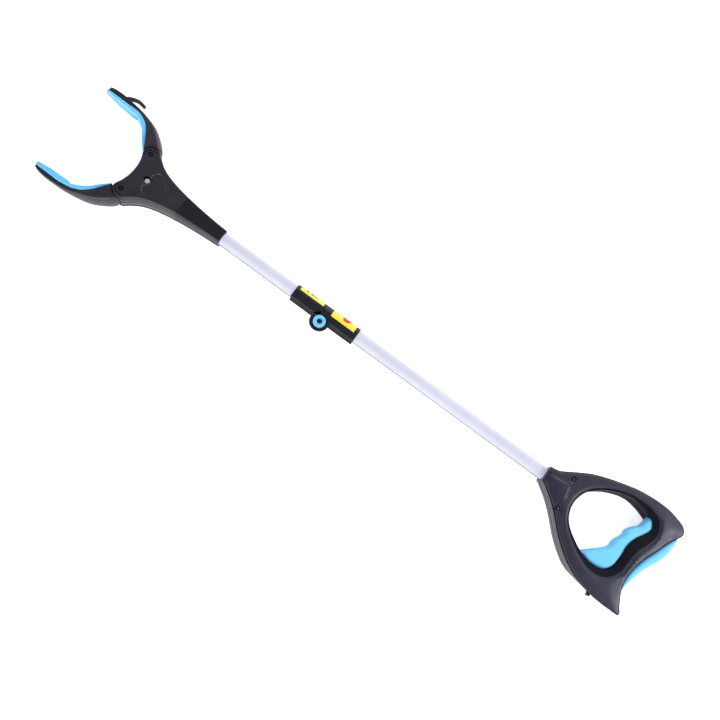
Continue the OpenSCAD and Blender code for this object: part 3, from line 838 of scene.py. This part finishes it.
def make_hinge():
    """The two halves of the block: the rear one has the knuckle's ears, the front one the tongue. Most of their
    walls and the button's well are painted in shade with the darker black.
    """
    half = HINGE_HALF
    knuckle = np.array([0.0, PIN_Y])
    ear_low = TONGUE + GAP
    well = circle(knuckle, BUTTON_R + 0.35, 64)
    side = (-half, half, ROUND_SIDE)
    upper = plate(rear_outline(KNUCKLE_R), ear_low, half, 0.8, [well], half - 4.8, side,
                  (knuckle, KNUCKLE_R, -KNUCKLE_TAPER), 1)
    low_r = LOW_EAR_R - KNUCKLE_TAPER
    lower = plate(rear_outline(low_r), ear_low, half, 0.8, (), 0, side, (knuckle, low_r, KNUCKLE_TAPER), 1)
    back = box_loop(HINGE_REAR + HAIR, -KNUCKLE_R - GAP, -half + HAIR, half - WALL_LEAN, 0.1)
    beside_knuckle = box_loop(-KNUCKLE_R - 1, SPLIT_X, -half + HAIR, PIN_Y - KNUCKLE_R - GAP, 0.1)
    middle = plate(back, -ear_low, ear_low, 0.05, wall_mark=1)
    middle.join(plate(beside_knuckle, -ear_low, ear_low, 0.05))
    piece("hinge_block_rear", upper.join(lower.turn_over()).join(middle), [BLACK_DARK, PAINTED_SHADE_BLACK], "handle",
          ["hinge_rear_half", "rear_hinge_rivets"], 40)

    clear_r = KNUCKLE_R + GAP
    clear = arc(knuckle, clear_r, -58, math.degrees(math.asin((half - PIN_Y) / clear_r)), 20)
    split = SPLIT_X + GAP
    front = closed_loop([(split, -half), (HINGE_FRONT, -half), (HINGE_FRONT, half), clear[::-1],
                         (split, clear[0][1])], 1.1)
    side = (-half, half, half - TONGUE)
    upper = plate(front, TONGUE, half, 0.8, side=side, wall_mark=1)
    lower = plate(front, TONGUE, half, 0.8, side=side, wall_mark=1).turn_over()
    core = box_loop(split, HINGE_FRONT - HAIR, -half + HAIR, half - WALL_LEAN, 0.1)
    middle = plate(core, -TONGUE, TONGUE, 0.05, wall_mark=1)
    tongue, _ = revolved([(0.01, -TONGUE), (LOW_EAR_R, -TONGUE), (TONGUE_R, TONGUE), (0.01, TONGUE)],
                         (*knuckle, 0))
    bridge = plate(box_loop(split, 12, 0, half - 0.1, 0.1), -TONGUE, TONGUE, 0.05)
    piece("hinge_block_front", upper.join(lower).join(middle).join(tongue).join(bridge),
          [BLACK_DARK, PAINTED_SHADE_BLACK], "front_arm", ["hinge_front_half", "front_hinge_rivets"], 40)


def make_button():
    """A blue ring with a dark hollow middle, and the hinge pin's end in it."""
    top = BUTTON_TOP
    base = reach("release_button", 2, 0)
    hole = 3.0
    profile = [(hole, base), (BUTTON_R, base), (BUTTON_R, top - 0.7), (BUTTON_R - 0.2, top - 0.25),
               (BUTTON_R - 0.7, top), (hole + 0.9, top), (hole + 0.3, top - 0.2), (hole, top - 0.6),
               (hole, base)]
    skin, _ = revolved(profile, (0, PIN_Y, 0))
    piece("release_ring", skin, BLUE, "release_button", ["release_button"], 50)
    pin_r = 2.45
    pin_top = reach("hinge_pin", 2, 1)
    low = reach("hinge_pin", 2, 0)
    profile = [(0.01, low), (4.6, low), (5, low + 0.4), (5, low + 1.15), (pin_r, low + 1.2),
               (pin_r, pin_top - 0.5), (pin_r - 0.5, pin_top - 0.05), (1.1, pin_top), (0.01, pin_top)]
    skin, _ = revolved(profile, (0, PIN_Y, 0), count=40)
    piece("hinge_pivot_pin", skin, PIN_BLACK, "handle", ["hinge_pin"], 40)


def make_label(name, node_name, body, marks):
    """A label bent round the block's rounded side. marks(x, y) says which print covers a point of its top."""
    low, high = size(node_name)
    x0, x1 = low[0] - ORIGIN[0], high[0] - ORIGIN[0]
    top_y = high[1] - ORIGIN[1]
    half = HINGE_HALF + 0.06
    low_edge = HINGE_HALF - ROUND_SIDE
    first = math.degrees(math.acos(min(top_y, 0) / half))
    path = [(y, half) for y in np.arange(top_y, 0, -0.3)]
    path += [(half * math.cos(a), low_edge + (half - low_edge) * math.sin(a))
             for a in np.radians(np.linspace(first, 180, 36))]
    rounded = len(path)
    path += [(-half, z) for z in np.linspace(low_edge, reach(node_name, 2, 0), 10)[1:]]
    xs = np.linspace(x0, x1, round((x1 - x0) / 0.3) + 1)
    skin = Skin()
    lines = [skin.add([(x, y, z) for y, z in path]) for x in xs]
    for i in range(len(xs) - 1):
        for k in range(len(path) - 1):
            middle = ((xs[i] + xs[i + 1]) / 2, (path[k][0] + path[k + 1][0]) / 2)
            on_top = k < rounded - 1
            skin.face((lines[i][k], lines[i][k + 1], lines[i + 1][k + 1], lines[i + 1][k]),
                      marks(*middle) if on_top else 0)
    made = piece(name, skin, [YELLOW, PRINT, RED], body, [node_name], 50)
    hollow(made, 0.16, 1)


def front_print(x, y):
    """Plain dark strokes, like the lines of a notice."""
    strokes = [(28.4, 30.6, -9, -6.2), (18.6, 21.6, -9, -7), (21.9, 25.2, -9, -6.6), (16.6, 18.4, -9, -6.9)]
    return int(any(a < x < b and c < y < d for a, b, c, d in strokes))


def rear_print(x, y):
    """A plain patch, wide at the block's edge."""
    depth = (y + HINGE_HALF) / 5.2
    return 2 if -31 + 5.2 * depth < x < -17.2 - 3.2 * depth and depth < 1 else 0


# ---- yoke

YOKE_SIDE = [(140, 8.7), (160, 9.5), (180, 11), (196, 12.8), (213, 15.8), (228, 20), (238, 25), (246, 31)]
YOKE_BOSS = [(250.5, 34.9), (254.8, 34.7), (260, 34), (264.6, 31), (266.8, 26.5)]
YOKE_FRONT = [(265.6, 21), (263.2, 14), (261.7, 7), (261.3, 0)]
PANEL = [(237.2, -13), (231.4, -13), (222, -5.8), (215.2, -0.7), (216.2, 5.3), (223.7, 10.4), (234.4, 16),
         (240, 13.2), (242.1, 8.5), (238.5, 3.5), (239.8, -1.8), (240.6, -7.6)]
CREASE_X = 195.7
NECK_HALF = 9.4
YOKE_WALL = 2.2
YOKE_DRAFT = 1.1
YOKE_ROUND = 0.7
# Rings of the wall, as (share of its height, distance drawn in, mark), with a groove near the top painted in shade
# (mark 1)
YOKE_GROOVE = [(0.06, 0.0, 0), (0.12, 0.75, 1), (0.2, 0.75, 1), (0.26, 0.1, 0), (0.5, -0.5, 0),
               (0.75, -0.9, 0), (0.95, -1.05, 0), (1.0, -0.6, 0)]
# The wall is open beyond both of these, where the jaws come out
MOUTH_X = 251.3
MOUTH_Y = 20.5
RECESS_R = 4.3
RECESS_DEPTH = 5.3
PIN_HOLE_R = 3.3
PIN_HOLE_DEPTH = 1.3
RECESS_ROUND = 0.5
PANEL_EDGE = 0.8
PANEL_DEPTH = 0.7


def yoke_top(x):
    """Height of the yoke's face: the neck grows thinner towards the tube."""
    share = np.clip((x - NECK_X) / (CREASE_X - NECK_X), 0, 1)
    return NECK_HALF + (YOKE_HALF - NECK_HALF) * share


def yoke_skin(details):
    """One yoke shell above the mid-plane. The front one has a screw's recess and a sunk panel."""
    half = curve(YOKE_SIDE + YOKE_BOSS + YOKE_FRONT)
    other = half[::-1] * (1, -1)
    waist = closed_loop([half, other], 1.2)
    face_edge = drawn_in(waist, YOKE_DRAFT, NECK_X)
    spots = [(pin, PIN_HOLE_R, PIN_HOLE_DEPTH, 0.9) for pin in (UPPER_PIVOT, LOWER_PIVOT)]
    if details:
        spots.append((SCREW_SPOT, RECESS_R, RECESS_DEPTH, 0.78))
    wells = [circle(spot, radius, 40) for spot, radius, _, _ in spots]
    panel = smooth_loop(PANEL, 1.2)
    crease_y = 11.4
    lines = [(even([(CREASE_X, -crease_y), (CREASE_X, crease_y)], 1.2), False)]
    if details:
        lines += [(panel, True), (panel - PANEL_EDGE * outward(panel), True)]
    edge_rows, hole_rows = rows(YOKE_ROUND, 4) + [2, 4], [rows(RECESS_ROUND, 2)] * len(wells)
    flat, triangles, rims = sheet(face_edge, wells, edge_rows, hole_rows, 2.8, lines)
    heights = yoke_top(flat[:, 0]) - rounding(gap(flat, face_edge), YOKE_ROUND)
    for well in wells:
        heights -= rounding(gap(flat, well), RECESS_ROUND)
    if details:
        heights -= PANEL_DEPTH * (inside(flat, panel) * ramp(gap(flat, panel), 0, PANEL_EDGE))
    skin = Skin()
    neck = np.where(flat[:, 0] < CREASE_X + 0.2, 2, 0)
    numbers = skin.add(np.column_stack([flat, heights]))
    for t in triangles:
        skin.face(numbers[t], int(neck[t].min()))
    add_yoke_wall(skin, numbers[rims[0]], heights[rims[0]], waist)
    for (spot, _, depth, share), order in zip(spots, rims[1:]):
        sink_well(skin, numbers[order], flat[order], spot, share, YOKE_HALF - depth)
    return skin


def add_yoke_wall(skin, rim, top, waist):
    """The wall down to the seam, or only through the face plate where the jaws come out."""
    opened = (waist[:, 0] > MOUTH_X) & (np.abs(waist[:, 1]) > MOUTH_Y)
    bottom = np.where(opened, YOKE_HALF - YOKE_WALL, 0)
    neck_wall = np.where(waist[:, 0] < CREASE_X, 2, 0)
    above = rim
    for share, inset, mark in YOKE_GROOVE:
        spreading = 0.3 + 0.7 * ramp(waist[:, 0], 150, 210) if inset < 0 else 1
        loop = drawn_in(waist, YOKE_DRAFT + inset * spreading, NECK_X)
        ring = skin.add(np.column_stack([loop, top + share * (bottom - top)]))
        for i in range(len(ring)):
            j = (i + 1) % len(ring)
            skin.face((above[i], above[j], ring[j], ring[i]), mark if mark else int(neck_wall[i]))
        above = ring


def make_yoke():
    materials = [BLACK_HEAD, PAINTED_SHADE_BLACK, BLACK_DARK]
    for name, skin, replaced in (("yoke_plate_front", yoke_skin(True), "yoke_front_shell"),
                                 ("yoke_plate_back", yoke_skin(False).turn_over(), "yoke_back_shell")):
        made = piece(name, skin, materials, "front_arm", [replaced], 40)
        hollow(made, YOKE_WALL - 0.1)


def screw_skin(spot, low, shank_r, head_low, head, count):
    """A screw from low up to its head, whose profile is (radius, height above head_low) pairs."""
    profile = [(0.01, low), (shank_r, low), (shank_r, head_low)]
    profile += [(radius, head_low + height) for radius, height in head]
    return revolved(profile, (*spot, 0), count=count)[0]


def make_yoke_pins():
    skin = Skin()
    for spot in (UPPER_PIVOT, LOWER_PIVOT):
        top = YOKE_HALF - 0.7
        radius = 2.9
        profile = [(0.01, -top), (radius - 0.5, -top), (radius, 0.5 - top), (radius, top - 0.5),
                   (radius - 0.5, top), (0.01, top)]
        pin, _ = revolved(profile, (*spot, 0), count=36)
        skin.join(pin)
    piece("jaw_pins", skin, PIN_BLACK, "front_arm", ["jaw_pivot_pins"], 40)
    head_low = YOKE_HALF - RECESS_DEPTH - 0.3
    head = [(3.1, 0), (3.1, 1), (2.5, 1.7), (1.2, 2), (0.01, 2)]
    screw = screw_skin(SCREW_SPOT, 2 - YOKE_HALF, 1.7, head_low, head, 36)
    piece("yoke_plate_screw", screw, SCREW_HIGHLIGHT, "front_arm", ["yoke_screw"], 30)


# ---- jaws, from their pivot with the tip along X

JAW_SKEW = 1.9
# Stations along a jaw: the pad's seat, the outer edge of the flat faces and the outer wall's crown
JAW_SEAT = [(10.4, 1.5), (13.2, 5.6), (17.5, 12), (24, 20.8), (34, 28.8), (50, 32.7), (68, 33),
            (80, 33.2), (87.2, 33.4)]
JAW_FACE = [(-1.2, 10.3), (3.4, 15.6), (10.2, 21.2), (20.6, 28.2), (33, 32.6), (48, 36), (68, 37.2),
            (80, 37), (87, 35.6)]
JAW_CROWN = [(-5.4, 13.2), (-1.2, 18), (5.2, 23.2), (16.4, 30.2), (31, 35), (47.4, 38.1), (68, 38.4),
             (80.4, 37.8), (87.3, 36)]
PAD_SEAT = [(10.9, 1.6), (14, 6.6), (19, 14.4), (25, 22.1), (32, 27.9), (41, 31.7), (45, 32.4), (48, 32.7),
            (58, 33), (70, 33.1), (80, 33.3), (88.4, 33.4)]
PAD_FACE = [(12.4, 1), (17.3, 6), (22.4, 11.6), (28, 18.6), (35, 24), (41.4, 27.6), (44.4, 29), (47.4, 28),
            (58, 28.4), (70, 28.9), (80, 29.8), (88.6, 30.4)]
HOOK_LINE = [(64, 37.2), (67, 38.2), (62.3, 41.8), (54.3, 44.6), (45.8, 43.8)]
# How much further out the seat and the face edge lie near the tip of the upper (-1) and the lower (1) jaw
SHIFTS = {-1: (-1.1, 1.7), 1: (1.6, 1.6)}
# Half thickness of a jaw and of its pad along them
JAW_HALVES = [(-20, 11.8), (12, 11.8), (28, 9.1), (36, 7.2), (45, 5.2), (58, 3.8), (90, 3.6)]
PAD_HALVES = [(-20, 9), (20, 9), (70, 8), (82, 6.2), (90, 3.6)]
BOSS_CLEAR = YOKE_HALF - YOKE_WALL - GAP


def half_at(x, halves):
    """Half thickness at a station of a jaw or a pad."""
    stations, values = zip(*halves)
    return float(np.interp(x, stations, values))


def toward_tip(line, amount):
    """A line of a jaw moved outward by amount near the tip."""
    moved = np.array(line, float)
    moved[:, 1] += amount * ramp(moved[:, 0], 40, 62)
    return moved


def to_tool(points, side):
    """From a jaw's own coordinates to the tool's. side is -1 for the upper jaw and 1 for the lower."""
    p = np.array(points, float)
    turn = math.radians(-JAW_SKEW)
    x, y = p[:, 0], side * p[:, 1]
    spot = UPPER_PIVOT if side < 0 else LOWER_PIVOT
    p[:, 0], p[:, 1] = (spot[0] + x * math.cos(turn) - y * math.sin(turn),
                        spot[1] + x * math.sin(turn) + y * math.cos(turn))
    return p


def cross_section(corners, fillet=0.5):
    """A closed section in space from its corners, as (corner, whether it is rounded)."""
    points = []
    count = len(corners)
    for i, (corner, rounded) in enumerate(corners):
        if not rounded:
            points.append(corner)
            continue
        before = corners[i - 1][0] - corner
        after = corners[(i + 1) % count][0] - corner
        start = corner + before / np.linalg.norm(before) * fillet
        end = corner + after / np.linalg.norm(after) * fillet
        for t in (0, 0.33, 0.67, 1):
            points.append((1 - t)**2 * start + 2 * t * (1 - t) * corner + t**2 * end)
    return np.array(points)


def between(a, b, count):
    """Points from a to b without its ends."""
    return [(a + (b - a) * t, False) for t in np.linspace(0, 1, count + 2)[1:-1]]


def at_height(p, z):
    """A point of a jaw's plan at a height."""
    return np.array([*p, z])


def jaw_section(seat, edge, crown, half):
    """A jaw's closed section: its flat faces at both heights, the crown outside and the seat inside."""
    seat_high, edge_high = at_height(seat, half), at_height(edge, half)
    seat_low, edge_low = at_height(seat, -half), at_height(edge, -half)
    corners = [(seat_high, True)] + between(seat_high, edge_high, 4) + [(edge_high, True)]
    for angle in np.radians(np.linspace(75, -75, 11)):
        out = math.cos(angle) ** 0.9
        corners.append((at_height(edge + (crown - edge) * out, half * math.sin(angle)), False))
    corners += [(edge_low, True)] + between(edge_low, seat_low, 4) + [(seat_low, True)]
    return cross_section(corners + between(seat_low, seat_high, 4), 0.45)


def bow(points, seat, edge, amount):
    """Pushes a section's points away from the pivot, so that the jaw's flat face starts on a round line."""
    across = edge - seat
    share = ((points[:, :2] - seat) @ across) / (across @ across)
    share = np.clip(share, 0, 1)
    middle = (seat + edge) / 2
    out = middle / np.linalg.norm(middle)
    moved = points.copy()
    moved[:, :2] += (amount * 4 * share * (1 - share))[:, None] * out
    return moved


def close_tip(sections, steps):
    """Adds smaller copies of the last section beyond it, given as (move, share of its size)."""
    last = sections[-1]
    middle = last.mean(0)
    sections.extend(middle + (last - middle) * share + move for move, share in steps)


def jaw_skin(side):
    """A jaw's curved arm and its root, without the hook."""
    seat_shift, face_shift = SHIFTS[side]
    seat = curve(toward_tip(JAW_SEAT, seat_shift), 8)
    edge = curve(toward_tip(JAW_FACE, face_shift), 8)
    crown = curve(toward_tip(JAW_CROWN, face_shift * 0.7), 8)
    sections = []
    chord = np.linalg.norm(edge[0] - seat[0])
    radius = (np.linalg.norm(seat[0]) + np.linalg.norm(edge[0])) / 2
    rise = radius - math.sqrt(max(radius**2 - chord**2 / 4, 0))
    for i in range(len(seat)):
        half = half_at(seat[i][0], JAW_HALVES)
        section = jaw_section(seat[i], edge[i], crown[i], half)
        sections.append(bow(section, seat[i], edge[i], rise * (1 - ramp(i, 0, 20))))
    close_tip(sections, [((0.35, 0, 0), 0.95), ((0.6, 0, 0), 0.82), ((0.7, 0, 0), 0.6)])
    skin = loft([to_tool(s, side) for s in sections])
    # The root turns between the yoke's plates
    root = curve([(-5.2, 12.6), (-1.2, 17.4), (5.2, 22.6), (13, 27.4)], 6)
    barrel = arc((0, 0), 9.6, -60, -235, 30)
    outline = closed_loop([root, (15, 8), barrel], 1.2)
    knuckle = pillow(outline, BOSS_CLEAR, 3.5, BOSS_CLEAR - 3, 2.6, 2)
    knuckle.points = [tuple(p) for p in to_tool(knuckle.points, side)]
    skin.join(knuckle)
    return skin


def hook_skin(side):
    """The thin curved hook outside the upper jaw's tip."""
    line = curve(HOOK_LINE, 8)
    sections = []
    for i, spot in enumerate(line):
        ahead = line[min(i + 1, len(line) - 1)] - line[max(i - 1, 0)]
        ahead = ahead / np.linalg.norm(ahead)
        normal = np.array([-ahead[1], ahead[0]])
        share = i / (len(line) - 1)
        width, deep = 2.2 - 0.3 * share, 3 - 0.3 * share
        angles = np.arange(20) * 2 * math.pi / 20
        c, s = np.cos(angles), np.sin(angles)
        wide = width * np.sign(c) * np.abs(c) ** 0.7
        high = deep * np.sign(s) * np.abs(s) ** 0.7
        sections.append(np.column_stack([spot[0] + normal[0] * wide, spot[1] + normal[1] * wide, high]))
    forward = line[-1] - line[-2]
    forward = forward / np.linalg.norm(forward)
    close_tip(sections, [((*(step * forward), 0), share) for step, share in ((0.9, 0.85), (1.4, 0.55))])
    return loft([to_tool(s, side) for s in sections])


def pad_skin(side):
    """The soft pad along a jaw's inner side."""
    seat = curve(toward_tip(PAD_SEAT, SHIFTS[side][0]), 5)
    face = curve(PAD_FACE, 5)
    sections = []
    for i in range(len(seat)):
        half = half_at(seat[i][0], PAD_HALVES)
        a_high, b_high = at_height(seat[i], half), at_height(face[i], half)
        a_low, b_low = at_height(seat[i], -half), at_height(face[i], -half)
        corners = []
        for start, end, rounded, count in ((a_high, b_high, False, 2), (b_high, b_low, True, 5),
                                           (b_low, a_low, True, 2), (a_low, a_high, False, 5)):
            corners += [(start, rounded)] + between(start, end, count)
        thick = np.linalg.norm(face[i] - seat[i])
        sections.append(cross_section(corners, min(1.1, 0.3 * thick + 0.2)))
    close_tip(sections, [((0.35, 0, 0), 0.8)])
    return loft([to_tool(s, side) for s in sections])


def make_jaws():
    for side, jaw, hooked in ((-1, "upper", True), (1, "lower", False)):
        skin = jaw_skin(side)
        if hooked:
            skin.join(hook_skin(side))
        piece(jaw + "_jaw_body", skin, BLACK_HEAD, jaw + "_jaw", [jaw + "_jaw"], 32)
        piece(jaw + "_jaw_pad", pad_skin(side), BLUE, jaw + "_jaw", [jaw + "_pad"], 60)


def make_handle_screws():
    skin = Skin()
    head = [(2.7, 0), (2.7, 0.7), (2.2, 1.3), (1.2, 1.6), (0.01, 1.7)]
    for spot in HANDLE_SCREWS:
        skin.join(screw_skin(spot, 3 - HANDLE_HALF, 1.5, HANDLE_HALF - WELL_DEPTH, head, 32))
    piece("handle_screw_heads", skin, SCREW_BLACK, "handle", ["handle_screws"], 30)


for make in (make_handle, make_strap_lug, make_palm_pad, make_trigger, make_handle_screws, make_hinge,
             make_button, make_yoke, make_yoke_pins, make_jaws):
    make()
make_label("label_front", "front_label", "front_arm", front_print)
make_label("label_rear", "rear_label", "handle", rear_print)
make_tube("tube_rear", "rear_tube", "handle")
make_tube("tube_front", "front_tube", "front_arm")


# ---- plain materials for the CAD nodes

SLOT_MATERIALS = {"black_plastic": BLACK, "blue_rubber": BLUE, "anodised_tube": TUBE, "steel": STEEL,
                  "yellow_label": YELLOW, "grey_plastic": GREY}
for part in frame["record"]["subparts"]:
    shown = frame["nodes"][part["node"]]
    shown.data.materials.clear()
    shown.data.materials.append(SLOT_MATERIALS[part["material_slot"]])


# ---- stage, light and camera


def soft_light(name, position, target, width, height, power, colour=(1, 1, 1)):
    data = bpy.data.lights.new(name, "AREA")
    data.shape = "RECTANGLE"
    data.size, data.size_y = width, height
    data.energy = power
    data.color = colour
    made = bpy.data.objects.new(name, data)
    made.location = position
    made.rotation_euler = (Vector(target) - Vector(position)).to_track_quat("-Z", "Y").to_euler()
    bpy.context.scene.collection.objects.link(made)


# Strength of the sky at the horizon and overhead
HORIZON = 1.25
ZENITH = 0.12


def make_stage():
    mesh = bpy.data.meshes.new("floor")
    side = 6
    mesh.from_pydata([(-side, -side, 0), (side, -side, 0), (side, side, 0), (-side, side, 0)], [],
                     [(0, 1, 2, 3)])
    mesh.materials.append(surface("floor_paper", (0.93, 0.93, 0.93), 0.9, vary=0.01, grain=900, bump=0.02,
                                  specular=0.1, blotch=3, glow=0.7))
    floor = bpy.data.objects.new("floor", mesh)
    bpy.context.scene.collection.objects.link(floor)
    world = bpy.data.worlds.new("studio")
    world.use_nodes = True
    tree = world.node_tree
    # Dim overhead and bright round the horizon, as between tall white screens
    coordinates = node(tree, "ShaderNodeTexCoord")
    split = node(tree, "ShaderNodeSeparateXYZ")
    link(tree, coordinates, "Generated", split, "Vector")
    fade = node(tree, "ShaderNodeMapRange")
    fade.interpolation_type = "SMOOTHSTEP"
    fade_range(fade, 0.1, 0.95, HORIZON, ZENITH)
    link(tree, split, "Z", fade, "Value")
    sky = tree.nodes["Background"]
    sky.inputs["Color"].default_value = (0.97, 0.98, 1.0, 1)
    link(tree, fade, "Result", sky, "Strength")
    bpy.context.scene.world = world
    soft_light("screen_front", (0.1, 1.5, 1.0), (0, 0, 0), 1.8, 1.0, 26)
    soft_light("screen_back", (-0.1, -1.6, 1.1), (0, 0, 0), 1.8, 0.8, 20)
    soft_light("tip_light", (-1.28, -0.27, 0.91), (-0.4, 0.05, 0), 0.5, 0.5, 12,
               (0.86, 0.84, 1.0))


def make_camera():
    """Looks down from the knuckle's side, turned so that the tool runs from upper left to lower right."""
    tilt, roll = math.radians(16), math.radians(36.2)
    right = Vector((-math.cos(roll), -math.sin(roll) * math.cos(tilt), math.sin(roll) * math.sin(tilt)))
    up = Vector((math.sin(roll), -math.cos(roll) * math.cos(tilt), math.cos(roll) * math.sin(tilt)))
    back = Vector((0, math.sin(tilt), math.cos(tilt)))
    data = bpy.data.cameras.new("camera")
    data.lens = 45
    data.sensor_width = 36
    made = bpy.data.objects.new("camera", data)
    turn = Matrix((right, up, back)).transposed().to_4x4()
    spot = place([(-60.5, 290.33, 946.65)])[0]
    made.matrix_world = Matrix.Translation(Vector(spot)) @ turn
    bpy.context.scene.collection.objects.link(made)
    bpy.context.scene.camera = made


make_stage()
make_camera()
bpy.context.scene.view_settings.view_transform = "Standard"
